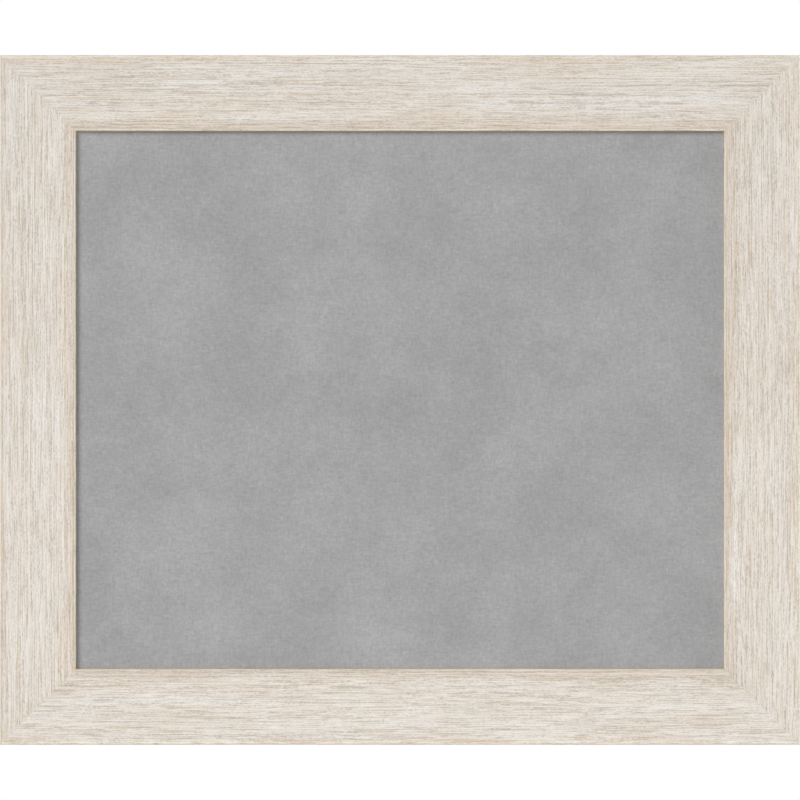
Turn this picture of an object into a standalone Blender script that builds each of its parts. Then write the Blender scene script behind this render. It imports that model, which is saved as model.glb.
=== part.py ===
"""Framed magnetic board: a steel sheet in a mitred wooden moulding, hung on a wall.

The front faces -Y and the wall is on the +Y side. The back plane of the moulding is y = 0.
The origin lies midway between the two sawtooth hangers, on the line of their notch roots,
which is the line on which the wall nails carry the board.
"""

import math

import bmesh
import bpy
from mathutils import Matrix, Vector

# Gap that touching pieces keep
TOUCH_GAP = 0.0003

# Steel sheet and the board behind it
BOARD_WIDTH = 0.6096
BOARD_HEIGHT = 0.508
EDGE_PLAY = 0.0016
SHEET_THICKNESS = 0.0006
BACKING_THICKNESS = 0.0032

# Wooden moulding, seen in section
RAIL_WIDTH = 0.06985
RAIL_DEPTH = 0.022
RABBET_WIDTH = 0.00635
LIP_THICKNESS = 0.0045
BEVEL_WIDTH = 0.0105
BEVEL_DROP = 0.0015
FRONT_EDGE_RADIUS = 0.003
SIGHT_EDGE_RADIUS = 0.0015
BACK_EDGE_RADIUS = 0.001
ARC_STEPS = 10

# V-shaped nails across the mitres, driven from behind
V_NAIL_LEG = 0.0058
V_NAIL_HOOK = 0.0012
V_NAIL_THICKNESS = 0.0005
V_NAIL_HEIGHT = 0.010
V_NAIL_SINK = 0.0005
V_NAIL_EDGE = 0.019
V_NAIL_PITCH = 0.024

# Flat steel points that hold the boards in the rabbet
POINT_WIDTH = 0.0095
POINT_LENGTH = 0.016
POINT_TIP = 0.004
POINT_BITE = 0.008
POINT_THICKNESS = 0.0006
POINTS_ON_LONG_RAIL = 4
POINTS_ON_SHORT_RAIL = 3
POINT_END_DISTANCE = 0.076

# Sawtooth hangers
HANGER_SPACING = 0.4064
HANGER_DROP = 0.034
HANGER_LENGTH = 0.046
HANGER_HEIGHT = 0.0095
HANGER_THICKNESS = 0.0008
HANGER_STANDOFF = 0.0016
HANGER_EAR = 0.0075
HANGER_RAMP = 0.0025
HANGER_CORNER = 0.002
NOTCH_PITCH = 0.003
NOTCH_WIDTH = 0.0022
NOTCH_DEPTH = 0.0016
NOTCH_END_MARGIN = 0.002

# Small nails through the hangers' ears
NAIL_SHANK_RADIUS = 0.0006
NAIL_HEAD_RADIUS = 0.0016
NAIL_HEAD_HEIGHT = 0.0006
NAIL_LENGTH = 0.012
NAIL_TIP = 0.002
NAIL_INSET = 0.0035
TURNED_STEPS = 32

# Round rubber bumpers at the bottom corners
BUMPER_RADIUS = 0.00635
BUMPER_FACE_RADIUS = 0.0038
BUMPER_RIM = 0.0008
BUMPER_HEIGHT = 0.0035
BUMPER_SIDE_INSET = 0.045
BUMPER_EDGE_INSET = 0.014

# Length by which a cutter stands clear of what it cuts
CUTTER_MARGIN = 0.002
WELD_DISTANCE = 0.00001
SHARP_ANGLE = math.radians(30)
FLAT_ANGLE = math.radians(0.1)

# Sizes that follow from the ones above
OUTER_WIDTH = BOARD_WIDTH + 2 * (RAIL_WIDTH - RABBET_WIDTH)
OUTER_HEIGHT = BOARD_HEIGHT + 2 * (RAIL_WIDTH - RABBET_WIDTH)
RABBET_DEPTH = RAIL_DEPTH - BEVEL_DROP - LIP_THICKNESS
CENTRE_Z = HANGER_DROP - OUTER_HEIGHT / 2
SHEET_FRONT = -RABBET_DEPTH + TOUCH_GAP
BACKING_FRONT = SHEET_FRONT + SHEET_THICKNESS + TOUCH_GAP
POINT_FRONT = BACKING_FRONT + BACKING_THICKNESS + TOUCH_GAP

# Turn of each rail about the board's centre, from the bottom one
RAIL_TURNS = {"bottom_rail": 0, "right_rail": -90, "top_rail": 180, "left_rail": 90}
CORNERS = {
    "bottom_left": (-1, -1),
    "bottom_right": (1, -1),
    "top_left": (-1, 1),
    "top_right": (1, 1),
}
SIDES = {"left": -1, "right": 1}


def clear_scene():
    for obj in list(bpy.data.objects):
        bpy.data.objects.remove(obj, do_unlink=True)


def new_collection(name):
    collection = bpy.data.collections.new(name)
    bpy.context.scene.collection.children.link(collection)
    return collection


def new_material(name, color, roughness, metallic=0.0):
    material = bpy.data.materials.new(name)
    material.use_nodes = True
    shader = material.node_tree.nodes["Principled BSDF"]
    shader.inputs["Base Color"].default_value = (*color, 1.0)
    shader.inputs["Roughness"].default_value = roughness
    shader.inputs["Metallic"].default_value = metallic
    material.diffuse_color = (*color, 1.0)
    return material


clear_scene()
parts = new_collection("magnetic_board")
cutters = new_collection("cutters")

frame_centre = bpy.data.objects.new("frame_centre", None)
frame_centre.location = (0, 0, CENTRE_Z)
parts.objects.link(frame_centre)

whitewashed_wood = new_material("whitewashed_wood", (0.714, 0.655, 0.583), 0.62)
galvannealed_steel = new_material("galvannealed_steel", (0.375, 0.375, 0.38), 0.58, 0.5)
hardboard = new_material("hardboard", (0.22, 0.125, 0.065), 0.75)
fastener_steel = new_material("fastener_steel", (0.5, 0.49, 0.47), 0.4, 1.0)
hanger_steel = new_material("hanger_steel", (0.62, 0.58, 0.48), 0.32, 1.0)
bumper_rubber = new_material("bumper_rubber", (0.03, 0.03, 0.032), 0.55)


def place(name, mesh, matrix, material=None):
    """Add a piece in the board's centre frame, or a cutter where no material is given."""
    obj = bpy.data.objects.new(name, mesh)
    obj.parent = frame_centre
    obj.matrix_basis = matrix
    if material:
        mesh.materials.append(material)
        parts.objects.link(obj)
    else:
        obj.hide_render = True
        obj.display_type = 'WIRE'
        cutters.objects.link(obj)
    return obj


def cut(piece, cutter):
    """Take a cutter out of a piece, in one Boolean with all the piece's other cutters."""
    name = "cuts_" + piece.name
    if name not in piece.modifiers:
        tools = bpy.data.collections.new(name)
        cutters.children.link(tools)
        boolean = piece.modifiers.new(name, 'BOOLEAN')
        boolean.operation = 'DIFFERENCE'
        boolean.solver = 'EXACT'
        boolean.operand_type = 'COLLECTION'
        boolean.collection = tools
    piece.modifiers[name].collection.objects.link(cutter)


def arc(centre, radius, start, end):
    """Points of an arc from one angle to another, in degrees."""
    points = []
    for step in range(ARC_STEPS + 1):
        angle = math.radians(start + (end - start) * step / ARC_STEPS)
        points.append((centre[0] + radius * math.cos(angle), centre[1] + radius * math.sin(angle)))
    return points


def weld(mesh):
    """Close a mesh at its seams, keep each flat area as one face, and shade it smooth between
    its sharp edges.
    """
    shape = bmesh.new()
    shape.from_mesh(mesh)
    bmesh.ops.remove_doubles(shape, verts=shape.verts, dist=WELD_DISTANCE)
    bmesh.ops.dissolve_limit(shape, angle_limit=FLAT_ANGLE, verts=shape.verts, edges=shape.edges)
    bmesh.ops.recalc_face_normals(shape, faces=shape.faces)
    shape.to_mesh(mesh)
    shape.free()
    mesh.shade_smooth()
    mesh.set_sharp_from_angle(angle=SHARP_ANGLE)


def prism(name, outline, thickness):
    """A mesh from a flat outline, filled and extruded by half the thickness to both sides."""
    curve = bpy.data.curves.new(name, 'CURVE')
    curve.dimensions = '2D'
    curve.fill_mode = 'BOTH'
    curve.extrude = thickness / 2
    spline = curve.splines.new('POLY')
    spline.points.add(len(outline) - 1)
    for point, (x, y) in zip(spline.points, outline):
        point.co = (x, y, 0, 1)
    spline.use_cyclic_u = True

    flat = bpy.data.objects.new(name, curve)
    cutters.objects.link(flat)
    graph = bpy.context.evaluated_depsgraph_get()
    mesh = bpy.data.meshes.new_from_object(flat.evaluated_get(graph))
    mesh.name = name
    bpy.data.objects.remove(flat, do_unlink=True)
    bpy.data.curves.remove(curve)

    weld(mesh)
    return mesh


def block(name, size):
    """A mesh of a rectangular block about its centre."""
    mesh = bpy.data.meshes.new(name)
    shape = bmesh.new()
    bmesh.ops.create_cube(shape, size=1)
    bmesh.ops.scale(shape, verts=shape.verts, vec=size)
    shape.to_mesh(mesh)
    shape.free()
    return mesh


def turned(name, profile):
    """A mesh turned about its own Z axis from a profile that runs from top to bottom."""
    line = bpy.data.meshes.new(name + "_profile")
    shape = bmesh.new()
    verts = [shape.verts.new((radius, 0, height)) for radius, height in profile]
    for upper, lower in zip(verts, verts[1:]):
        shape.edges.new((upper, lower))
    shape.to_mesh(line)
    shape.free()

    lathe = bpy.data.objects.new(name + "_profile", line)
    cutters.objects.link(lathe)
    screw = lathe.modifiers.new("turn", 'SCREW')
    screw.steps = TURNED_STEPS
    screw.render_steps = TURNED_STEPS
    screw.use_merge_vertices = True
    screw.merge_threshold = WELD_DISTANCE
    graph = bpy.context.evaluated_depsgraph_get()
    mesh = bpy.data.meshes.new_from_object(lathe.evaluated_get(graph))
    mesh.name = name
    bpy.data.objects.remove(lathe, do_unlink=True)
    bpy.data.meshes.remove(line)
    weld(mesh)
    return mesh


def strip(path, thickness):
    """Outline of a bent strip of even thickness whose middle line is the path."""
    points = [Vector(point) for point in path]
    left = []
    right = []
    for index, point in enumerate(points):
        before = (point - points[index - 1]).normalized() if index else None
        after = (points[index + 1] - point).normalized() if index + 1 < len(points) else None
        along = ((before or after) + (after or before)).normalized()
        across = Vector((-along.y, along.x))
        edge = after or before
        reach = thickness / 2 / across.dot(Vector((-edge.y, edge.x)))
        left.append(tuple(point + across * reach))
        right.append(tuple(point - across * reach))
    return left + right[::-1]


# Moulding

def moulding_outline():
    """Section of a rail: x from the outer edge to the sight edge, y from the back to the front."""
    face_end = RAIL_WIDTH - BEVEL_WIDTH
    slope = math.degrees(math.atan2(BEVEL_DROP, BEVEL_WIDTH))
    sight_top = RABBET_DEPTH + LIP_THICKNESS
    # The sight arc touches the slope and the upright edge
    tangent = SIGHT_EDGE_RADIUS * math.tan(math.radians((90 - slope) / 2))
    sight_centre = (RAIL_WIDTH - SIGHT_EDGE_RADIUS, sight_top - tangent)
    rabbet_wall = RAIL_WIDTH - RABBET_WIDTH

    outline = [(rabbet_wall, 0)]
    outline += arc((BACK_EDGE_RADIUS, BACK_EDGE_RADIUS), BACK_EDGE_RADIUS, 270, 180)
    front_centre = (FRONT_EDGE_RADIUS, RAIL_DEPTH - FRONT_EDGE_RADIUS)
    outline += arc(front_centre, FRONT_EDGE_RADIUS, 180, 90)
    outline.append((face_end, RAIL_DEPTH))
    outline += arc(sight_centre, SIGHT_EDGE_RADIUS, 90 - slope, 0)
    outline += [(RAIL_WIDTH, RABBET_DEPTH), (rabbet_wall, RABBET_DEPTH)]
    return outline


def rail_frame(turn):
    """Frame of a rail: its X runs along the rail and its Z from the outer edge to the centre."""
    return Matrix.Rotation(math.radians(turn), 4, 'Y')


def rail_length(turn):
    return OUTER_WIDTH if turn % 180 == 0 else OUTER_HEIGHT


def rail_reach(turn):
    """Distance from the board's centre to the rail's outer edge."""
    return (OUTER_HEIGHT if turn % 180 == 0 else OUTER_WIDTH) / 2


# The section's x points to the centre, its y to the front, and the extrusion runs along the rail
SECTION_TO_RAIL = Matrix(((0, 0, 1, 0), (0, -1, 0, 0), (1, 0, 0, 0), (0, 0, 0, 1)))


def mitre_saw(name, turn, end):
    """Block whose face lies on the mitre plane at one end of a rail, half a gap inside it."""
    size = 4 * RAIL_WIDTH
    normal = Vector((end, 0, 1)).normalized()
    corner = Vector((end * rail_length(turn) / 2, -RAIL_DEPTH / 2, -rail_reach(turn)))
    centre = corner + normal * (size - TOUCH_GAP) / 2
    tilt = Matrix.Rotation(math.radians(45), 4, 'Y')
    matrix = rail_frame(turn) @ Matrix.Translation(centre) @ tilt
    return place(name, block(name, (size, size, size)), matrix)


rails = {}
for name, turn in RAIL_TURNS.items():
    mesh = prism(name, moulding_outline(), rail_length(turn))
    outward = Matrix.Translation((0, 0, -rail_reach(turn)))
    rail = place(name, mesh, rail_frame(turn) @ outward @ SECTION_TO_RAIL, whitewashed_wood)
    rails[name] = rail


# V-shaped nails

def v_nail_path(end_play):
    """Middle line of a V nail: the apex at the origin, both legs opening along +X."""
    leg = V_NAIL_LEG * math.sqrt(0.5)
    hook = V_NAIL_HOOK + end_play
    return [(leg + hook, -leg), (leg, -leg), (0, 0), (leg, leg), (leg + hook, leg)]


for corner, (side, level) in CORNERS.items():
    inward = Vector((-side, 0, -level)).normalized()
    backward = Vector((0, 1, 0))
    across = backward.cross(inward)
    turn_to_corner = Matrix((inward, across, backward)).transposed().to_4x4()
    rail_names = (("bottom_rail", "top_rail")[level > 0], ("left_rail", "right_rail")[side > 0])

    for row, place_name in enumerate(("outer", "inner")):
        inset = V_NAIL_EDGE + row * V_NAIL_PITCH
        apex = Vector((side * (OUTER_WIDTH / 2 - inset), 0, level * (OUTER_HEIGHT / 2 - inset)))
        name = f"v_nail_{corner}_{place_name}"
        middle = apex - backward * (V_NAIL_SINK + V_NAIL_HEIGHT / 2)
        mesh = prism(name, strip(v_nail_path(0), V_NAIL_THICKNESS), V_NAIL_HEIGHT)
        place(name, mesh, Matrix.Translation(middle) @ turn_to_corner, fastener_steel)

        slot_depth = V_NAIL_SINK + V_NAIL_HEIGHT + TOUCH_GAP
        slot_outline = strip(v_nail_path(TOUCH_GAP), V_NAIL_THICKNESS + 2 * TOUCH_GAP)
        mesh = prism(name + "_slot", slot_outline, slot_depth + CUTTER_MARGIN)
        middle = apex - backward * (slot_depth - CUTTER_MARGIN) / 2
        slot = place(name + "_slot", mesh, Matrix.Translation(middle) @ turn_to_corner)
        for rail_name in rail_names:
            cut(rails[rail_name], slot)


# Steel sheet and backing board, resting on the rabbet of the bottom rail

def rabbet_board(name, front, thickness, material):
    height = BOARD_HEIGHT - TOUCH_GAP - EDGE_PLAY
    size = (BOARD_WIDTH - 2 * EDGE_PLAY, thickness, height)
    middle = (0, front + thickness / 2, -BOARD_HEIGHT / 2 + TOUCH_GAP + height / 2)
    return place(name, block(name, size), Matrix.Translation(middle), material)


rabbet_board("steel_sheet", SHEET_FRONT, SHEET_THICKNESS, galvannealed_steel)
rabbet_board("backing_board", BACKING_FRONT, BACKING_THICKNESS, hardboard)


# Framing points, driven sideways into the wall of the rabbet

def point_outline(growth):
    """Outline of a point: its tip at the end of the bite on -Y, the rabbet wall on y = 0."""
    half = POINT_WIDTH / 2 + growth
    tip = -POINT_BITE - growth
    shoulder = tip + POINT_TIP
    free_end = POINT_LENGTH - POINT_BITE + growth
    return [(-half, free_end), (-half, shoulder), (0, tip), (half, shoulder), (half, free_end)]


# The outline's y points to the centre and the strip's thickness lies front to back
POINT_TO_RAIL = Matrix.Rotation(math.radians(90), 4, 'X')

for rail_name, turn in RAIL_TURNS.items():
    count = POINTS_ON_LONG_RAIL if turn % 180 == 0 else POINTS_ON_SHORT_RAIL
    board_length = rail_length(turn) - 2 * (RAIL_WIDTH - RABBET_WIDTH)
    pitch = (board_length - 2 * POINT_END_DISTANCE) / (count - 1)
    wall = RAIL_WIDTH - RABBET_WIDTH - rail_reach(turn)
    for index in range(count):
        along = (index - (count - 1) / 2) * pitch
        middle = Matrix.Translation((along, POINT_FRONT + POINT_THICKNESS / 2, wall))
        matrix = rail_frame(turn) @ middle @ POINT_TO_RAIL
        name = f"framing_point_{rail_name.removesuffix('_rail')}_{index + 1}"
        place(name, prism(name, point_outline(0), POINT_THICKNESS), matrix, fastener_steel)
        slot_mesh = prism(name + "_slot", point_outline(TOUCH_GAP), POINT_THICKNESS + 2 * TOUCH_GAP)
        cut(rails[rail_name], place(name + "_slot", slot_mesh, matrix))


# Sawtooth hangers on the back of the top rail

HANG_LINE = -CENTRE_Z
HANGER_BOTTOM = HANG_LINE - NOTCH_DEPTH
HANGER_REACH = HANGER_LENGTH / 2
# The strip's middle line, flat on the wood at the ears and standing off between them
EAR_LINE = TOUCH_GAP + HANGER_THICKNESS / 2
RAISED_LINE = EAR_LINE + HANGER_STANDOFF


def hanger_path():
    bend_out = HANGER_REACH - HANGER_EAR
    bend_back = bend_out - HANGER_RAMP
    half = [(HANGER_REACH, EAR_LINE), (bend_out, EAR_LINE), (bend_back, RAISED_LINE)]
    return half + [(-x, y) for x, y in half[::-1]]


def notch_outline():
    """Comb of V notches, open below: x along the hanger and y up from its lower edge."""
    usable = HANGER_LENGTH - 2 * (HANGER_EAR + HANGER_RAMP + NOTCH_END_MARGIN)
    count = int(usable / NOTCH_PITCH) // 2 * 2 + 1
    spread = NOTCH_WIDTH / 2 * (1 + CUTTER_MARGIN / NOTCH_DEPTH / 2)
    lip = -CUTTER_MARGIN / 2
    outline = []
    for index in range(count):
        x = (index - (count - 1) / 2) * NOTCH_PITCH
        outline += [(x - spread, lip), (x, NOTCH_DEPTH), (x + spread, lip)]
    reach = outline[-1][0]
    return outline + [(reach, -CUTTER_MARGIN), (-reach, -CUTTER_MARGIN)]


def corner_saw(name, x_side, z_side, middle):
    """Block that clips a corner of the hanger at 45 degrees."""
    size = 2 * HANGER_HEIGHT
    corner = Vector((middle + x_side * HANGER_REACH, 0, HANGER_BOTTOM + HANGER_HEIGHT * (z_side > 0)))
    normal = Vector((x_side, 0, z_side)).normalized()
    centre = corner + normal * (size / 2 - HANGER_CORNER * math.sqrt(0.5))
    tilt = Matrix.Rotation(math.radians(45), 4, 'Y')
    return place(name, block(name, (size, size, size)), Matrix.Translation(centre) @ tilt)


def drill(name, radius, depth, mouth):
    """Cylinder that drills along -Y from just behind its mouth."""
    mesh = bpy.data.meshes.new(name)
    shape = bmesh.new()
    length = depth + CUTTER_MARGIN
    sides = {"segments": TURNED_STEPS, "radius1": radius, "radius2": radius}
    bmesh.ops.create_cone(shape, cap_ends=True, depth=length, **sides)
    shape.to_mesh(mesh)
    shape.free()
    centre = Vector(mouth) + Vector((0, CUTTER_MARGIN - length / 2, 0))
    return place(name, mesh, Matrix.Translation(centre) @ Matrix.Rotation(math.radians(90), 4, 'X'))


def nail_profile():
    """A nail standing on its tip, the underside of its head at z = 0."""
    return [
        (0, NAIL_HEAD_HEIGHT),
        (NAIL_HEAD_RADIUS, NAIL_HEAD_HEIGHT),
        (NAIL_HEAD_RADIUS, 0),
        (NAIL_SHANK_RADIUS, 0),
        (NAIL_SHANK_RADIUS, NAIL_TIP - NAIL_LENGTH),
        (0, -NAIL_LENGTH),
    ]


for side_name, side in SIDES.items():
    middle = side * HANGER_SPACING / 2
    name = "hanger_" + side_name
    mesh = prism(name, strip(hanger_path(), HANGER_THICKNESS), HANGER_HEIGHT)
    centre = Matrix.Translation((middle, 0, HANGER_BOTTOM + HANGER_HEIGHT / 2))
    hanger = place(name, mesh, centre, hanger_steel)

    notch_mesh = prism(name + "_notches", notch_outline(), 4 * (RAISED_LINE + HANGER_THICKNESS))
    notch_place = Matrix.Translation((middle, 0, HANGER_BOTTOM)) @ Matrix.Rotation(math.radians(90), 4, 'X')
    cut(hanger, place(name + "_notches", notch_mesh, notch_place))
    for x_side in (-1, 1):
        for z_side in (-1, 1):
            cut(hanger, corner_saw(f"{name}_corner_{x_side}_{z_side}", x_side, z_side, middle))

    for number, end in enumerate((-1, 1), start=1):
        x = middle + end * (HANGER_REACH - NAIL_INSET)
        z = HANGER_BOTTOM + HANGER_HEIGHT / 2
        nail_seat = TOUCH_GAP + HANGER_THICKNESS + TOUCH_GAP
        nail_name = f"hanger_nail_{side_name}_{number}"
        upright = Matrix.Rotation(math.radians(-90), 4, 'X')
        nail_place = Matrix.Translation((x, nail_seat, z)) @ upright
        place(nail_name, turned(nail_name, nail_profile()), nail_place, fastener_steel)
        hole_depth = NAIL_LENGTH + TOUCH_GAP
        hole_radius = NAIL_SHANK_RADIUS + TOUCH_GAP
        hole = drill(nail_name + "_hole", hole_radius, hole_depth, (x, nail_seat, z))
        cut(hanger, hole)
        cut(rails["top_rail"], hole)


# The mitres are sawn last, through the slots that cross them

for name, turn in RAIL_TURNS.items():
    for end_name, end in SIDES.items():
        cut(rails[name], mitre_saw(f"{name}_mitre_{end_name}", turn, end))


# Rubber bumpers on the back of the bottom rail

def bumper_profile():
    """A low dome with a flat face, standing on its base at z = 0."""
    rise = BUMPER_HEIGHT - BUMPER_RIM
    run = BUMPER_RADIUS - BUMPER_FACE_RADIUS
    profile = [(0, BUMPER_HEIGHT)]
    for step in range(ARC_STEPS + 1):
        angle = math.radians(90 * step / ARC_STEPS)
        radius = BUMPER_FACE_RADIUS + run * math.sin(angle)
        profile.append((radius, BUMPER_RIM + rise * math.cos(angle)))
    return profile + [(BUMPER_RADIUS, 0), (0, 0)]


for side_name, side in SIDES.items():
    name = "bumper_" + side_name
    x = side * (OUTER_WIDTH / 2 - BUMPER_SIDE_INSET)
    z = BUMPER_EDGE_INSET - OUTER_HEIGHT / 2
    seat = Matrix.Translation((x, TOUCH_GAP, z)) @ Matrix.Rotation(math.radians(-90), 4, 'X')
    place(name, turned(name, bumper_profile()), seat, bumper_rubber)
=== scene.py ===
import math

import bmesh
import bpy
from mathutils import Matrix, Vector, noise


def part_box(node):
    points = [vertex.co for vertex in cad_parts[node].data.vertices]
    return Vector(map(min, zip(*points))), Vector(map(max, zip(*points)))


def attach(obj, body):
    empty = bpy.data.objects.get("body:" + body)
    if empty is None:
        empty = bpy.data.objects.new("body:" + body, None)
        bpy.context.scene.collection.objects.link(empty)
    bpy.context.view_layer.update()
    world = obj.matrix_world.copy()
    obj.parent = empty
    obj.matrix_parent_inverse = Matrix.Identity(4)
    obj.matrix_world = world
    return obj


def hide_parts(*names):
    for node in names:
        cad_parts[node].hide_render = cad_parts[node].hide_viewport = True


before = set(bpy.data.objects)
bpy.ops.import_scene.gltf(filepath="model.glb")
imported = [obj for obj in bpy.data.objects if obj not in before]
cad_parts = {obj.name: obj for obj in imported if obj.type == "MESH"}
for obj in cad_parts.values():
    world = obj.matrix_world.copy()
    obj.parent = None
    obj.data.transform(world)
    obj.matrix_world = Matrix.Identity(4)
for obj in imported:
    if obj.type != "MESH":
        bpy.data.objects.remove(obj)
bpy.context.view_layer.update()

scene = bpy.context.scene
scene.view_settings.view_transform = "Standard"

# Places read from the frame, in metres: the front looks along -Y and the wall is at +Y
topLow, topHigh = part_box("top_rail")
railWidth = topHigh.z - topLow.z
frontPlane = topLow.y
halfWidth = topHigh.x
halfHeight = (topHigh.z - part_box("bottom_rail")[0].z) / 2
centreHeight = topHigh.z - halfHeight
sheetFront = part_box("steel_sheet")[0].y
print("frame loaded:", len(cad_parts), "nodes")


# Camera: straight on, far away, with the board as wide as the picture
view = {
    "lens": 200,
    "sensor": 36,
    "clipEnd": 60,
}
distance = 2 * halfWidth * view["lens"] / view["sensor"]
cameraData = bpy.data.cameras.new("productCamera")
cameraData.lens = view["lens"]
cameraData.sensor_width = view["sensor"]
cameraData.clip_end = view["clipEnd"]
camera = bpy.data.objects.new("productCamera", cameraData)
camera.location = (0, frontPlane - distance, centreHeight)
camera.rotation_euler = (math.radians(90), 0, 0)
scene.collection.objects.link(camera)
scene.camera = camera


# Lamps: the key makes the shadow at the top and left of the sheet, the front one lifts it, the
# side one lights the edges that face right, and the two behind reach only the sides and the back
studio = {
    "keyLamp": {"toward": (-0.86, -1.0, 0.68), "strength": 2.76, "spread": 34},
    "frontLamp": {"toward": (0.0, -1.0, 0.0), "strength": 0.50, "spread": 14},
    "sideLamp": {"toward": (1.0, -0.20, -0.04), "strength": 0.62, "spread": 24},
    "leftBackLamp": {"toward": (-1.0, 0.6, 0.35), "strength": 1.7, "spread": 16},
    "rightBackLamp": {"toward": (1.0, 0.6, 0.35), "strength": 2.4, "spread": 16},
    "worldLevel": 0.08,
    "floorDrop": 0.28,          # the floor lies this far below the board
    "floorSize": 4.0,
    "floorColor": (0.60, 0.60, 0.60, 1),
    "floorRoughness": 0.9,
    "floorGlow": 0.51,          # what the floor lacks to look white to the camera
}
for lampName in ("keyLamp", "frontLamp", "sideLamp", "leftBackLamp", "rightBackLamp"):
    lampData = bpy.data.lights.new(lampName, "SUN")
    lampData.energy = studio[lampName]["strength"]
    lampData.angle = math.radians(studio[lampName]["spread"])
    lamp = bpy.data.objects.new(lampName, lampData)
    lamp.rotation_euler = Vector(studio[lampName]["toward"]).to_track_quat("Z", "Y").to_euler()
    scene.collection.objects.link(lamp)


def tint(red, green, blue):
    # a colour as a paint program gives it, made linear
    levels = [value / 255 for value in (red, green, blue)]
    return tuple(v / 12.92 if v <= 0.04045 else ((v + 0.055) / 1.055) ** 2.4 for v in levels) + (1,)


def addNode(tree, kind, inputs=None, **settings):
    node = tree.nodes.new(kind)
    for key, value in settings.items():
        setattr(node, key, value)
    for key, value in (inputs or {}).items():
        if isinstance(value, bpy.types.NodeSocket):
            tree.links.new(value, node.inputs[key])
        else:
            node.inputs[key].default_value = value
    return node


def calc(tree, operation, first, second=0.0):
    return addNode(tree, "ShaderNodeMath", {0: first, 1: second}, operation=operation).outputs[0]


def total(tree, *terms):
    # the sum of values, each times its share
    result = None
    for value, share in terms:
        part = calc(tree, "MULTIPLY", value, share)
        result = part if result is None else calc(tree, "ADD", result, part)
    return result


def remap(tree, value, low, high, toLow=0.0, toHigh=1.0, smooth=False):
    inputs = {"Value": value, "From Min": low, "From Max": high, "To Min": toLow, "To Max": toHigh}
    kind = "SMOOTHSTEP" if smooth else "LINEAR"
    return addNode(tree, "ShaderNodeMapRange", inputs, interpolation_type=kind).outputs[0]


def blendColor(tree, factor, first, second, mode="MIX"):
    node = addNode(tree, "ShaderNodeMix", data_type="RGBA", blend_type=mode)
    for socket, value in ((0, factor), (6, first), (7, second)):
        if isinstance(value, bpy.types.NodeSocket):
            tree.links.new(value, node.inputs[socket])
        else:
            node.inputs[socket].default_value = value
    return node.outputs[2]


def grey(tree, value):
    return addNode(tree, "ShaderNodeCombineColor", {0: value, 1: value, 2: value}).outputs[0]


def layOver(tree, color, coat, cover, share):
    # a coat over the colour, as far as it covers
    return blendColor(tree, calc(tree, "MULTIPLY", cover, share), color, coat)


def noiseAt(tree, vector, cell, detail=0.0, roughness=0.5, shift=(0, 0, 0)):
    # cell is the size of the pattern in metres along each axis, and shift takes it from another place
    scale = tuple(1 / size for size in cell)
    inputs = {"Vector": vector, "Location": shift, "Scale": scale}
    placed = addNode(tree, "ShaderNodeMapping", inputs).outputs[0]
    inputs = {"Vector": placed, "Scale": 1.0, "Detail": detail, "Roughness": roughness}
    return addNode(tree, "ShaderNodeTexNoise", inputs).outputs[0]


def newMaterial(name, **sockets):
    material = bpy.data.materials.new(name)
    material.use_nodes = True
    tree = material.node_tree
    tree.nodes.clear()
    shader = addNode(tree, "ShaderNodeBsdfPrincipled", sockets)
    addNode(tree, "ShaderNodeOutputMaterial", {"Surface": shader.outputs[0]})
    return material, tree, shader


def addBump(tree, shader, height, strength, distance):
    inputs = {"Strength": strength, "Distance": distance, "Height": height}
    tree.links.new(addNode(tree, "ShaderNodeBump", inputs).outputs[0], shader.inputs["Normal"])


def dress(nodeName, material):
    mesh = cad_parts[nodeName].data
    mesh.materials.clear()
    mesh.materials.append(material)


def newPiece(name, shape, materials):
    mesh = bpy.data.meshes.new(name)
    shape.to_mesh(mesh)
    shape.free()
    for material in materials:
        mesh.materials.append(material)
    piece = bpy.data.objects.new(name, mesh)
    scene.collection.objects.link(piece)
    return piece


world = bpy.data.worlds.new("studioWorld")
scene.world = world
world.use_nodes = True
tree = world.node_tree
tree.nodes.clear()
rays = addNode(tree, "ShaderNodeLightPath")
seen = calc(tree, "MAXIMUM", rays.outputs["Is Camera Ray"], rays.outputs["Is Glossy Ray"])
seen = calc(tree, "MAXIMUM", seen, rays.outputs["Is Transmission Ray"])
level = remap(tree, seen, 0, 1, studio["worldLevel"], 1.0)
background = addNode(tree, "ShaderNodeBackground", {"Color": (1, 1, 1, 1), "Strength": level})
addNode(tree, "ShaderNodeOutputWorld", {"Surface": background.outputs[0]})

floorMaterial, tree, shader = newMaterial("paleFloor", Roughness=studio["floorRoughness"])
shader.inputs["Base Color"].default_value = studio["floorColor"]
shader.inputs["Specular IOR Level"].default_value = 0.0
shader.inputs["Emission Color"].default_value = (1, 1, 1, 1)
seen = addNode(tree, "ShaderNodeLightPath").outputs["Is Camera Ray"]
tree.links.new(calc(tree, "MULTIPLY", seen, studio["floorGlow"]), shader.inputs["Emission Strength"])
floorShape = bmesh.new()
bmesh.ops.create_grid(floorShape, x_segments=1, y_segments=1, size=studio["floorSize"] / 2)
floorHeight = centreHeight - halfHeight - studio["floorDrop"]
bmesh.ops.translate(floorShape, verts=floorShape.verts, vec=(0, 0, floorHeight))
floor = newPiece("floor", floorShape, [floorMaterial])
print("camera, lamps and floor set")


def newGroup(name, inputs, outputs):
    group = bpy.data.node_groups.new(name, "ShaderNodeTree")
    for socketName, kind in inputs:
        group.interface.new_socket(socketName, in_out="INPUT", socket_type="NodeSocket" + kind)
    for socketName, kind in outputs:
        group.interface.new_socket(socketName, in_out="OUTPUT", socket_type="NodeSocket" + kind)
    return group, addNode(group, "NodeGroupInput").outputs, addNode(group, "NodeGroupOutput").inputs


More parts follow.
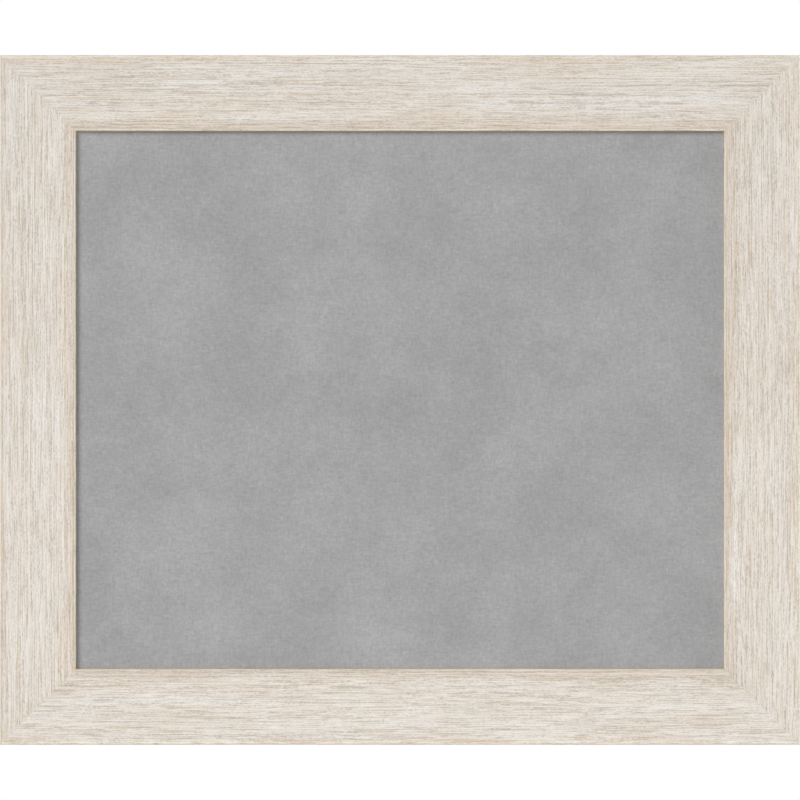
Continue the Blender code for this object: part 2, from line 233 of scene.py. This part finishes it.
# Grain, shared by the finished and the bare wood: it runs along X and sways a little
grain = {
    "swayCell": (0.070, 0.020, 0.020),
    "sway": 0.0024,
    "hairs": [                  # length, width and share of each size of fibre
        (0.0026, 0.00064, 0.27),
        (0.0120, 0.00074, 0.25),
        (0.0500, 0.00060, 0.22),
        (0.3500, 0.00070, 0.26),
    ],
    "contrast": (0.37, 0.61),   # the noise between these levels covers the whole range
    "bandCell": (0.450, 0.0045, 0.0045),
    "bandLevels": (0.35, 0.65),
    "patchCell": (0.110, 0.018, 0.018),
    "patchLevels": (0.35, 0.65),
    "streakCell": (0.060, 0.0010, 0.0010),
    "streakLevels": (0.58, 0.68),
}
group, given, result = newGroup(
    "woodGrain",
    [("Vector", "Vector")],
    [("Fibres", "Float"), ("Bands", "Float"), ("Patches", "Float"), ("Streaks", "Float")],
)
sway = noiseAt(group, given["Vector"], grain["swayCell"], 1.0)
sway = calc(group, "MULTIPLY", calc(group, "SUBTRACT", sway, 0.5), grain["sway"])
sway = addNode(group, "ShaderNodeCombineXYZ", {1: sway, 2: sway}).outputs[0]
flow = addNode(group, "ShaderNodeVectorMath", {0: given["Vector"], 1: sway}, operation="ADD").outputs[0]
fibres = [(noiseAt(group, flow, (length, width, width), shift=(5 * index, 3, 7)), share)
          for index, (length, width, share) in enumerate(grain["hairs"])]
fibres = remap(group, total(group, *fibres), *grain["contrast"])
bands = noiseAt(group, flow, grain["bandCell"], 1.0, shift=(1, 6, 2))
bands = remap(group, bands, *grain["bandLevels"])
patches = noiseAt(group, flow, grain["patchCell"], 2.0, shift=(4, 2, 8))
patches = remap(group, patches, *grain["patchLevels"])
streaks = noiseAt(group, flow, grain["streakCell"], shift=(7, 1, 4))
streaks = remap(group, streaks, *grain["streakLevels"])
for socketName, value in {"Fibres": fibres, "Bands": bands, "Patches": patches, "Streaks": streaks}.items():
    group.links.new(value, result[socketName])
grainGroup = group


# Each rail's axes, where on its own plank its grain is taken from, the seed of its brush strokes,
# and its tones: the band of wear beside the sight edge, the rubbed sight edge, the rubbed outer edge. Each
# tone also carries painted light: it is paler where that part of the rail turns away from the key lamp and
# darker where it turns towards it, so the top and left sight edges and bands, and the bottom and right
# outer edges, are painted lighter.
rails = {
    "top_rail": {
        "along": 0, "across": 2, "plank": (0.0, 0.0, 0.0), "seed": 5,
        "wearAndPaintedLight": tint(217, 198, 175), "sightRimAndPaintedLight": tint(255, 240, 218), "outerRimAndPaintedLight": tint(228, 219, 206),
    },
    "bottom_rail": {
        "along": 0, "across": 2, "plank": (1.37, 0.22, 0.41), "seed": 22,
        "wearAndPaintedLight": tint(180, 162, 138), "sightRimAndPaintedLight": tint(216, 203, 184), "outerRimAndPaintedLight": tint(255, 246, 232),
    },
    "left_rail": {
        "along": 2, "across": 0, "plank": (2.18, 0.53, 0.87), "seed": 39,
        "wearAndPaintedLight": tint(225, 206, 183), "sightRimAndPaintedLight": tint(255, 240, 218), "outerRimAndPaintedLight": tint(196, 188, 178),
    },
    "right_rail": {
        "along": 2, "across": 0, "plank": (3.71, 0.94, 1.76), "seed": 56,
        "wearAndPaintedLight": tint(178, 160, 136), "sightRimAndPaintedLight": tint(216, 203, 184), "outerRimAndPaintedLight": tint(244, 236, 222),
    },
}


def plankPlace(tree, rail):
    place = addNode(tree, "ShaderNodeTexCoord").outputs["Object"]
    if rail["along"] == 2:
        turn = {"Vector": place, "Rotation": (0, math.radians(90), 0)}
        place = addNode(tree, "ShaderNodeMapping", turn).outputs[0]
    return addNode(tree, "ShaderNodeMapping", {"Vector": place, "Location": rail["plank"]}).outputs[0]


def grainAt(tree, place):
    return addNode(tree, "ShaderNodeGroup", {"Vector": place}, node_tree=grainGroup).outputs


def objectAxes(tree):
    place = addNode(tree, "ShaderNodeTexCoord").outputs["Object"]
    return addNode(tree, "ShaderNodeSeparateXYZ", {0: place}).outputs


def inwardDistance(tree):
    # how far a point lies outside the sight opening, the same on all four rails
    axes = objectAxes(tree)
    sideways = calc(tree, "SUBTRACT", calc(tree, "ABSOLUTE", axes["X"]), halfWidth - railWidth)
    upward = calc(tree, "ABSOLUTE", calc(tree, "SUBTRACT", axes["Z"], centreHeight))
    upward = calc(tree, "SUBTRACT", upward, halfHeight - railWidth)
    return calc(tree, "MAXIMUM", sideways, upward)


# Whitewash on brushed wood
whitewash = {
    "cream": tint(223, 214, 203),
    "chalk": tint(225, 221, 215),
    "dull": tint(217, 209, 199),
    "groove": tint(172, 154, 132),
    "bare": tint(209, 184, 150),
    "streak": tint(188, 163, 132),
    "spot": tint(206, 180, 146),
    "lightFibre": (1.09, 1.09, 1.095, 1),
    "darkFibre": (0.68, 0.645, 0.60, 1),
    "fibreCurve": 1.8,
    "creamShare": 0.7,
    "grooveShare": 0.58,
    "streakShare": 0.45,
    "wander": (0.006, 0.003),       # how far patches and fibres shift the edges of the rubbed and thin parts of the wash, and of the painted light in the band beside the sight edge
    "sightBand": (0.0145, 0.0080),  # the band of wear beside the sight edge, which also carries painted light, starts and is whole here
    "wearAndPaintedLightShare": 0.30,
    "sightLine": 0.0025,            # a thin dark line along the band
    "sightLineWidth": 0.0010,
    "sightLineShare": 0.34,
    "sightRimAndPaintedLight": (0.0017, 0.0010),   # rubbed pale along the edge itself, with painted light on the rounding
    "outerRimAndPaintedLight": (0.0036, 0.0014),   # and along the outer edge, measured from outside, also with painted light
    "outerBand": (0.0080, 0.0010),
    "outerShare": 0.14,
    "spotCell": (0.014, 0.0022, 0.0022),
    "spotLevels": (0.55, 0.68),
    "spotShare": 0.5,
    "rearFade": (0.0050, 0.0008),   # the wash thins out this far in front of the back
    "rearShare": 0.7,
    "roughness": (0.72, 0.54),      # of the darkest and of the palest fibre
    "bumpStrength": 0.5,
    "bumpDistance": 0.0002,
}


def makeWhitewash(name, rail):
    material, tree, shader = newMaterial(name)
    place = plankPlace(tree, rail)
    parts = grainAt(tree, place)
    inward = inwardDistance(tree)
    fromOutside = calc(tree, "SUBTRACT", railWidth, inward)
    centred = [calc(tree, "SUBTRACT", parts[part], 0.5) for part in ("Patches", "Fibres")]
    wander = total(tree, *zip(centred, whitewash["wander"]))
    sightWander = calc(tree, "ADD", inward, wander)
    outerWander = calc(tree, "ADD", fromOutside, wander)

    # the wash: dull and chalky patches, cream bands, and thin or rubbed along both edges; the band of wear
    # and both rims also carry each rail's painted light
    color = blendColor(tree, parts["Patches"], whitewash["dull"], whitewash["chalk"])
    color = layOver(tree, color, whitewash["cream"], parts["Bands"], whitewash["creamShare"])
    # the band beside the sight edge: wear, plus painted light that is lighter where the band turns away
    # from the key lamp
    wearAndPaintedLight = remap(tree, sightWander, *whitewash["sightBand"], smooth=True)
    color = layOver(tree, color, rail["wearAndPaintedLight"], wearAndPaintedLight, whitewash["wearAndPaintedLightShare"])
    edge = remap(tree, outerWander, *whitewash["outerBand"], smooth=True)
    color = layOver(tree, color, whitewash["bare"], edge, whitewash["outerShare"])
    # painted highlight and painted shade on the sight and outer rims, set for each rail by how the key lamp
    # falls on it, over a pale rubbed edge
    color = blendColor(tree, remap(tree, inward, *whitewash["sightRimAndPaintedLight"]), color, rail["sightRimAndPaintedLight"])
    color = blendColor(tree, remap(tree, fromOutside, *whitewash["outerRimAndPaintedLight"]), color, rail["outerRimAndPaintedLight"])

    # the fibres under it, then brown streaks, the line along the sight edge, spots and grooves
    dark = calc(tree, "POWER", calc(tree, "SUBTRACT", 1.0, parts["Fibres"]), whitewash["fibreCurve"])
    shade = blendColor(tree, dark, whitewash["lightFibre"], whitewash["darkFibre"])
    color = blendColor(tree, 1.0, color, shade, "MULTIPLY")
    streak = calc(tree, "MULTIPLY", parts["Streaks"], parts["Bands"])
    color = layOver(tree, color, whitewash["streak"], streak, whitewash["streakShare"])
    line = calc(tree, "ABSOLUTE", calc(tree, "SUBTRACT", inward, whitewash["sightLine"]))
    line = remap(tree, line, whitewash["sightLineWidth"], 0.0)
    color = layOver(tree, color, whitewash["groove"], line, whitewash["sightLineShare"])
    spots = remap(tree, noiseAt(tree, place, whitewash["spotCell"], 1.0), *whitewash["spotLevels"])
    spots = calc(tree, "MULTIPLY", spots, edge)
    color = layOver(tree, color, whitewash["spot"], spots, whitewash["spotShare"])
    groove = addNode(tree, "ShaderNodeAttribute", attribute_name="groove").outputs["Fac"]
    color = layOver(tree, color, whitewash["groove"], groove, whitewash["grooveShare"])

    # towards the back the wash thins out to bare wood
    depth = calc(tree, "MULTIPLY", objectAxes(tree)["Y"], -1.0)
    thin = remap(tree, calc(tree, "ADD", depth, wander), *whitewash["rearFade"], smooth=True)
    color = layOver(tree, color, whitewash["bare"], thin, whitewash["rearShare"])
    tree.links.new(color, shader.inputs["Base Color"])
    roughness = remap(tree, parts["Fibres"], 0.0, 1.0, *whitewash["roughness"])
    tree.links.new(roughness, shader.inputs["Roughness"])
    addBump(tree, shader, parts["Fibres"], whitewash["bumpStrength"], whitewash["bumpDistance"])
    return material


# Bare wood, on the back and in the rabbet: the wash has run over its outer edge
bareWood = {
    "light": tint(222, 190, 146),
    "dark": tint(192, 152, 108),
    "wash": tint(222, 211, 196),
    "toneShares": {"Fibres": 0.35, "Bands": 0.45, "Patches": 0.20},
    "run": 0.0045,              # how far the wash runs over the outer edge
    "runCell": 0.009,
    "runLevels": (0.3, 0.7),
    "runBorder": 0.0010,
    "runCover": (0.45, 0.85),   # how well the run covers a dark fibre and a pale one
    "fullFibre": 0.6,           # a fibre at this level counts as pale
    "knifePitch": 0.0016,       # ripple that the planer's knives leave across the grain
    "knifeShade": (0.988, 1.008),
    "knifeRelief": 0.06,        # beside the fibres' relief of 1
    "roughness": 0.75,
    "bumpStrength": 0.5,
    "bumpDistance": 0.0003,
}


def makeBareWood(name, rail):
    material, tree, shader = newMaterial(name, Roughness=bareWood["roughness"])
    place = plankPlace(tree, rail)
    parts = grainAt(tree, place)
    shade = total(tree, *[(parts[part], share) for part, share in bareWood["toneShares"].items()])
    color = blendColor(tree, shade, bareWood["light"], bareWood["dark"])
    along = addNode(tree, "ShaderNodeSeparateXYZ", {0: place}).outputs["X"]
    ripple = calc(tree, "SINE", calc(tree, "MULTIPLY", along, math.tau / bareWood["knifePitch"]))
    rippleShade = grey(tree, remap(tree, ripple, -1, 1, *bareWood["knifeShade"]))
    color = blendColor(tree, 1.0, color, rippleShade, "MULTIPLY")
    run = noiseAt(tree, place, (bareWood["runCell"],) * 3, 3.0)
    run = remap(tree, run, *bareWood["runLevels"], 0.0, bareWood["run"])
    run = calc(tree, "ADD", inwardDistance(tree), run)
    washed = remap(tree, run, railWidth - bareWood["runBorder"], railWidth + bareWood["runBorder"])
    cover = remap(tree, parts["Fibres"], 0.0, bareWood["fullFibre"], *bareWood["runCover"])
    color = layOver(tree, color, bareWood["wash"], washed, cover)
    tree.links.new(color, shader.inputs["Base Color"])
    height = total(tree, (parts["Fibres"], 1.0), (ripple, bareWood["knifeRelief"]))
    addBump(tree, shader, height, bareWood["bumpStrength"], bareWood["bumpDistance"])
    return material


# The brushed faces: a merged copy of each rail, cut finely enough to carry the grooves
brush = {
    "stations": 160,            # cuts along each rail
    "columnWidth": 0.00026,     # between the cuts across it
    "swayCell": (0.080, 0.020),
    "sway": 0.0022,
    "strokes": [                # length, width and share of each size of stroke
        (0.018, 0.00060, 0.32),
        (0.055, 0.00065, 0.34),
        (0.200, 0.00070, 0.34),
    ],
    "start": 0.12,              # level of the noise at which a groove starts
    "full": 0.52,
    "depth": 0.00012,
    "ripple": 0.00005,          # height of the ribs between the grooves
    "fade": (0.0008, 0.0030),   # the relief starts and is whole this far in front of a rear edge
    "closing": 0.0002,          # each end reaches this far to close the joint
    "stripLength": 0.4,         # only the moulding's own strips are longer than this
    "endArea": 1e-4,            # only the sawn ends' faces are larger than this, in square metres
}


def strokeLevel(u, v, w, seed):
    swayU, swayV = brush["swayCell"]
    sway = brush["sway"] * noise.noise((u / swayU, v / swayV, w / swayV + seed))
    level = 0
    for index, (length, width, share) in enumerate(brush["strokes"]):
        # each size of stroke is taken from its own place in the noise
        spot = (u / length + 9 * index, (v + sway) / width, (w + sway) / width + seed)
        level += share * noise.noise(spot)
    return level


def smoothStep(value, low, high):
    share = min(max((value - low) / (high - low), 0), 1)
    return share * share * (3 - 2 * share)


mergeDistance = 1e-6            # corners closer than this are one
flatAngle = math.radians(0.5)   # faces that meet at less than this are one


def mergedCopy(nodeName):
    shape = bmesh.new()
    shape.from_mesh(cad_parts[nodeName].data)
    bmesh.ops.remove_doubles(shape, verts=shape.verts, dist=mergeDistance)
    bmesh.ops.dissolve_limit(shape, angle_limit=flatAngle, verts=shape.verts, edges=shape.edges)
    return shape


def sharpen(shape, angle=60):
    shape.normal_update()
    for edge in shape.edges:
        edge.smooth = edge.calc_face_angle(0) < math.radians(angle)


def brushedRail(nodeName, rail):
    along, across = rail["along"], rail["across"]
    shape = mergedCopy(nodeName)

    # strips run from mitre to mitre: all are cut along the rail, the finished ones across too
    def isStrip(face):
        run = [vert.co[along] for vert in face.verts]
        isLong = max(run) - min(run) > brush["stripLength"]
        return len(face.verts) == 4 and abs(face.normal[along]) < 0.01 and isLong

    strips = [face for face in shape.faces if isStrip(face)]
    for face in shape.faces:
        face.material_index = 1
    for face in strips:
        face.smooth = True
        face.material_index = 0 if face.normal.y < 0.95 else 1      # the back itself stays bare
    longEdges = {edge for face in strips for edge in face.edges
                 if abs(edge.verts[0].co[along] - edge.verts[1].co[along]) > brush["stripLength"]}
    bmesh.ops.subdivide_edges(shape, edges=list(longEdges), cuts=brush["stations"], use_grid_fill=True)
    rungs = {}
    for edge in shape.edges:
        span = edge.verts[1].co - edge.verts[0].co
        cuts = round(math.hypot(span[across], span.y) / brush["columnWidth"]) - 1
        if cuts > 0 and any(face.material_index == 0 for face in edge.link_faces):
            rungs.setdefault(cuts, []).append(edge)
    for cuts, edges in rungs.items():
        bmesh.ops.subdivide_edges(shape, edges=edges, cuts=cuts, use_grid_fill=True)

    # the sawn ends close the gap that the solids keep
    ends = {vert for face in shape.faces if abs(face.normal[along]) > 0.5 for vert in face.verts
            if face.calc_area() > brush["endArea"]}
    middle = sum((vert.co[along] for vert in ends), 0) / len(ends)
    for vert in ends:
        vert.co[along] += math.copysign(brush["closing"], vert.co[along] - middle)

    groove = shape.verts.layers.float.new("groove")
    innerHalf = (halfWidth if across == 0 else halfHeight) - railWidth / 2
    centre = 0 if across == 0 else centreHeight
    for vert in shape.verts:
        normals = [face.normal for face in vert.link_faces if face.material_index == 0]
        if not normals:
            continue
        rear = sheetFront if abs(vert.co[across] - centre) < innerHalf else 0
        fade = smoothStep(rear - vert.co.y, *brush["fade"])
        level = strokeLevel(vert.co[along], vert.co[across], vert.co.y, rail["seed"])
        vert[groove] = fade * smoothStep(level, brush["start"], brush["full"])
        depth = brush["depth"] * vert[groove] + fade * brush["ripple"] * max(0.5 + level, 0)
        vert.co -= sum(normals, Vector()).normalized() * depth
    sharpen(shape)
    return shape


for nodeName, rail in rails.items():
    shape = brushedRail(nodeName, rail)
    materials = [makeWhitewash(nodeName + "Whitewash", rail), makeBareWood(nodeName + "BareWood", rail)]
    piece = newPiece(nodeName + "_brushed", shape, materials)
    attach(piece, "root")
    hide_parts(nodeName)
    print(piece.name, "made:", len(piece.data.polygons), "faces")


# Steel sheet: matte grey, softly clouded
steel = {
    "color": tint(152, 152, 152),
    "metallic": 0.12,
    "roughness": (0.64, 0.56),
    "noiseLevels": (0.3, 0.7),
    "mottleCell": 0.120,
    "mottleDetail": 8.0,
    "mottleGain": 0.86,         # share that each finer cloud keeps of the one before
    "mottle": 0.140,
    "speckles": [               # size and share: round ones, lying ones and standing ones
        ((0.0026, 0.0026, 0.0026), 0.40),
        ((0.0066, 0.0017, 0.0017), 0.30),
        ((0.0017, 0.0017, 0.0066), 0.30),
    ],
    "speckle": 0.150,
}
material, tree, shader = newMaterial("galvannealedSteel", Metallic=steel["metallic"])
place = addNode(tree, "ShaderNodeTexCoord").outputs["Object"]
mottle = noiseAt(tree, place, (steel["mottleCell"],) * 3, steel["mottleDetail"], steel["mottleGain"])
speckle = total(tree, *[(noiseAt(tree, place, cell, 1.0), share) for cell, share in steel["speckles"]])
mottleShade = remap(tree, mottle, *steel["noiseLevels"], 1 - steel["mottle"], 1 + steel["mottle"])
speckleShade = remap(tree, speckle, *steel["noiseLevels"], 1 - steel["speckle"], 1 + steel["speckle"])
shade = grey(tree, calc(tree, "MULTIPLY", mottleShade, speckleShade))
color = blendColor(tree, 1.0, steel["color"], shade, "MULTIPLY")
tree.links.new(color, shader.inputs["Base Color"])
roughness = remap(tree, mottle, *steel["noiseLevels"], *steel["roughness"])
tree.links.new(roughness, shader.inputs["Roughness"])
dress("steel_sheet", material)
print("steel sheet finished")


# Hardboard behind it: pressed brown fibre, with the print of the press's screen on its back
hardboard = {
    "dark": (0.150, 0.080, 0.040, 1),
    "light": (0.265, 0.155, 0.082, 1),
    "fleck": (0.420, 0.290, 0.180, 1),
    "fibreCells": [(0.0060, 0.0010, 0.0012), (0.0012, 0.0010, 0.0070)],
    "cloudCell": 0.040,
    "toneShares": (0.35, 0.30, 0.35),       # of the lying fibres, the standing ones and the clouds
    "toneLevels": (0.38, 0.62),
    "fleckLevels": (0.36, 0.44),
    "fleckShare": 0.55,
    "screenPitch": 0.0018,
    "bumpShares": (0.5, 0.6, 0.6),          # of the screen, the lying fibres and the standing ones
    "bumpStrength": 0.6,
    "bumpDistance": 0.00025,
    "roughness": 0.72,
}
material, tree, shader = newMaterial("pressedHardboard", Roughness=hardboard["roughness"])
place = addNode(tree, "ShaderNodeTexCoord").outputs["Object"]
lying, standing = [noiseAt(tree, place, cell, 3.0, 0.6) for cell in hardboard["fibreCells"]]
cloud = noiseAt(tree, place, (hardboard["cloudCell"],) * 3, 4.0, 0.6)
shade = total(tree, *zip((lying, standing, cloud), hardboard["toneShares"]))
shade = remap(tree, shade, *hardboard["toneLevels"])
color = blendColor(tree, shade, hardboard["dark"], hardboard["light"])
fleck = calc(tree, "MULTIPLY", lying, standing)
fleck = remap(tree, fleck, *hardboard["fleckLevels"], 0.0, hardboard["fleckShare"])
color = blendColor(tree, fleck, color, hardboard["fleck"])
tree.links.new(color, shader.inputs["Base Color"])
axes = objectAxes(tree)
waves = [calc(tree, "SINE", calc(tree, "MULTIPLY", axes[name], math.tau / hardboard["screenPitch"]))
         for name in ("X", "Z")]
screen = calc(tree, "MULTIPLY", *waves)
height = total(tree, *zip((screen, lying, standing), hardboard["bumpShares"]))
addBump(tree, shader, height, hardboard["bumpStrength"], hardboard["bumpDistance"])
dress("backing_board", material)
print("backing board finished")


# Metal finish, shared by the fasteners and the hangers
metalFinish = {
    "drawCell": (0.0120, 0.0100, 0.00018),     # marks left by drawing and stamping
    "drawLevels": (0.35, 0.65),
    "drawShade": (0.92, 1.05),
    "cloudCell": 0.0026,
    "cloudLevels": (0.35, 0.65),
    "speckCell": 0.0008,
    "speckLevels": (0.62, 0.72),
    "roughnessShares": {"Clouds": -0.10, "Marks": 0.10, "Specks": 0.25},
    "bumpStrength": 0.2,
    "bumpDistance": 0.00004,
}
group, given, result = newGroup(
    "metalFinish",
    [("Vector", "Vector")],
    [("Marks", "Float"), ("Clouds", "Float"), ("Specks", "Float")],
)
marks = noiseAt(group, given["Vector"], metalFinish["drawCell"], 1.0)
marks = remap(group, marks, *metalFinish["drawLevels"])
clouds = noiseAt(group, given["Vector"], (metalFinish["cloudCell"],) * 3, 3.0)
clouds = remap(group, clouds, *metalFinish["cloudLevels"])
specks = noiseAt(group, given["Vector"], (metalFinish["speckCell"],) * 3, 2.0)
specks = remap(group, specks, *metalFinish["speckLevels"])
for socketName, value in {"Marks": marks, "Clouds": clouds, "Specks": specks}.items():
    group.links.new(value, result[socketName])
metalGroup = group


def makeMetal(name, finish):
    material, tree, shader = newMaterial(name, Metallic=1.0)
    place = addNode(tree, "ShaderNodeTexCoord").outputs["Object"]
    parts = addNode(tree, "ShaderNodeGroup", {"Vector": place}, node_tree=metalGroup).outputs
    color = blendColor(tree, parts["Clouds"], finish["dark"], finish["light"])
    markShade = grey(tree, remap(tree, parts["Marks"], 0, 1, *metalFinish["drawShade"]))
    color = blendColor(tree, 1.0, color, markShade, "MULTIPLY")
    color = layOver(tree, color, finish["speck"], parts["Specks"], finish["tarnish"])
    tree.links.new(color, shader.inputs["Base Color"])
    shares = metalFinish["roughnessShares"]
    roughness = total(tree, *[(parts[part], share) for part, share in shares.items()])
    tree.links.new(calc(tree, "ADD", roughness, finish["roughness"]), shader.inputs["Roughness"])
    addBump(tree, shader, parts["Marks"], metalFinish["bumpStrength"], metalFinish["bumpDistance"])
    return material


# Fasteners: bright zinc on steel
fastener = {
    "light": (0.60, 0.60, 0.61, 1),
    "dark": (0.43, 0.43, 0.44, 1),
    "speck": (0.23, 0.21, 0.19, 1),
    "tarnish": 0.5,
    "roughness": 0.36,
    "pointEdge": 0.00010,
    "headDome": 0.00038,        # height of the dome on a nail's head
    "shankRadius": 0.0006,
    "headHeight": 0.0006,
    "tipLength": 0.0020,
    "turnSteps": 32,
    "domeSteps": 6,
}
fastenerSteel = makeMetal("fastenerSteel", fastener)


def addPiece(name, shape, material, nodeName):
    piece = newPiece(name, shape, [material])
    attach(piece, "root")
    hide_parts(nodeName)


def easedCopy(nodeName, width):
    # the solid itself, with its sharp edges rounded over, apart from the rims under the nail heads
    shape = mergedCopy(nodeName)
    for face in shape.faces:
        face.smooth = False
    sharpAngle = math.radians(25)
    edges = [edge for edge in shape.edges
             if edge.calc_face_angle(0) > sharpAngle and edge.calc_length() > 2 * width]
    rounds = {"offset": width, "offset_type": "OFFSET", "segments": 2, "profile": 0.5}
    made = bmesh.ops.bevel(shape, geom=edges, affect="EDGES", material=-1, clamp_overlap=True, **rounds)
    for face in made["faces"]:
        face.smooth = True
    return shape


def quarterTurns(steps):
    return [math.radians(90 * step / steps) for step in range(steps + 1)]


def spunShape(profile, centre, steps):
    # the profile holds (radius, Y) pairs and is turned about the line through the centre along Y
    shape = bmesh.new()
    verts = [shape.verts.new((centre.x + radius, height, centre.z)) for radius, height in profile]
    edges = [shape.edges.new(pair) for pair in zip(verts, verts[1:])]
    turn = {"cent": (centre.x, 0, centre.z), "axis": (0, 1, 0), "angle": math.tau, "steps": steps}
    bmesh.ops.spin(shape, geom=verts + edges, use_merge=True, **turn)
    bmesh.ops.remove_doubles(shape, verts=shape.verts, dist=mergeDistance)
    bmesh.ops.recalc_face_normals(shape, faces=shape.faces)
    for face in shape.faces:
        face.smooth = True
    sharpen(shape, angle=40)
    return shape


def nailShape(nodeName):
    low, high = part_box(nodeName)
    headRadius = (high.x - low.x) / 2
    seat = high.y - fastener["headHeight"]
    rim = high.y - fastener["headDome"]
    dome = [(headRadius * math.sin(turn), rim + fastener["headDome"] * math.cos(turn))
            for turn in quarterTurns(fastener["domeSteps"])]
    shank = fastener["shankRadius"]
    body = [(headRadius, seat), (shank, seat), (shank, low.y + fastener["tipLength"]), (0, low.y)]
    return spunShape(dome + body, (low + high) / 2, fastener["turnSteps"])


nodeNames = sorted(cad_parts)
for nodeName in nodeNames:
    if nodeName.startswith("v_nail"):
        dress(nodeName, fastenerSteel)
    elif nodeName.startswith("framing_point"):
        shape = easedCopy(nodeName, fastener["pointEdge"])
        addPiece(nodeName + "_eased", shape, fastenerSteel, nodeName)
    elif nodeName.startswith("hanger_nail"):
        addPiece(nodeName + "_domed", nailShape(nodeName), fastenerSteel, nodeName)
print("V nails, framing points and hanger nails made")


# Sawtooth hangers: pressed strip, plated a dull brass colour
hangers = {
    "light": (0.66, 0.58, 0.42, 1),
    "dark": (0.53, 0.47, 0.35, 1),
    "speck": (0.30, 0.26, 0.20, 1),
    "tarnish": 0.6,
    "roughness": 0.32,
    "edge": 0.00016,
}
hangerSteel = makeMetal("hangerSteel", hangers)
for nodeName in ("hanger_left", "hanger_right"):
    shape = easedCopy(nodeName, hangers["edge"])
    addPiece(nodeName + "_pressed", shape, hangerSteel, nodeName)
print("hangers made")


# Bumpers: moulded rubber, a low dome with a flat face
bumpers = {
    "rubber": (0.026, 0.026, 0.028, 1),
    "dust": (0.110, 0.105, 0.098, 1),
    "faceRadius": 0.0038,
    "rim": 0.0008,
    "footEase": 0.0002,
    "turnSteps": 64,
    "domeSteps": 16,
    "footSteps": 4,
    "dustCell": 0.0022,
    "dustLevels": (0.48, 0.70),
    "dustShares": (0.05, 0.55),     # how much the dust covers where it is thinnest and thickest
    "roughness": (0.50, 0.85),      # of clean rubber and of dust
    "skinCell": 0.0005,
    "bumpStrength": 0.35,
    "bumpDistance": 0.00005,
}
material, tree, shader = newMaterial("bumperRubber")
place = addNode(tree, "ShaderNodeTexCoord").outputs["Object"]
skin = noiseAt(tree, place, (bumpers["skinCell"],) * 3, 2.0)
dusty = noiseAt(tree, place, (bumpers["dustCell"],) * 3, 4.0, 0.65)
dusty = remap(tree, dusty, *bumpers["dustLevels"], *bumpers["dustShares"])
tree.links.new(blendColor(tree, dusty, bumpers["rubber"], bumpers["dust"]), shader.inputs["Base Color"])
tree.links.new(remap(tree, dusty, 0, 1, *bumpers["roughness"]), shader.inputs["Roughness"])
addBump(tree, shader, skin, bumpers["bumpStrength"], bumpers["bumpDistance"])


def bumperShape(nodeName):
    low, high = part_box(nodeName)
    radius = (high.x - low.x) / 2
    run = radius - bumpers["faceRadius"]
    rise = high.y - low.y - bumpers["rim"]
    dome = [(bumpers["faceRadius"] + run * math.sin(turn), high.y - rise + rise * math.cos(turn))
            for turn in quarterTurns(bumpers["domeSteps"])]
    ease = bumpers["footEase"]
    foot = [(radius - ease + ease * math.cos(turn), low.y + ease - ease * math.sin(turn))
            for turn in quarterTurns(bumpers["footSteps"])]
    return spunShape([(0, high.y)] + dome + foot + [(0, low.y)], (low + high) / 2, bumpers["turnSteps"])


for nodeName in ("bumper_left", "bumper_right"):
    addPiece(nodeName + "_moulded", bumperShape(nodeName), material, nodeName)
print("bumpers made")
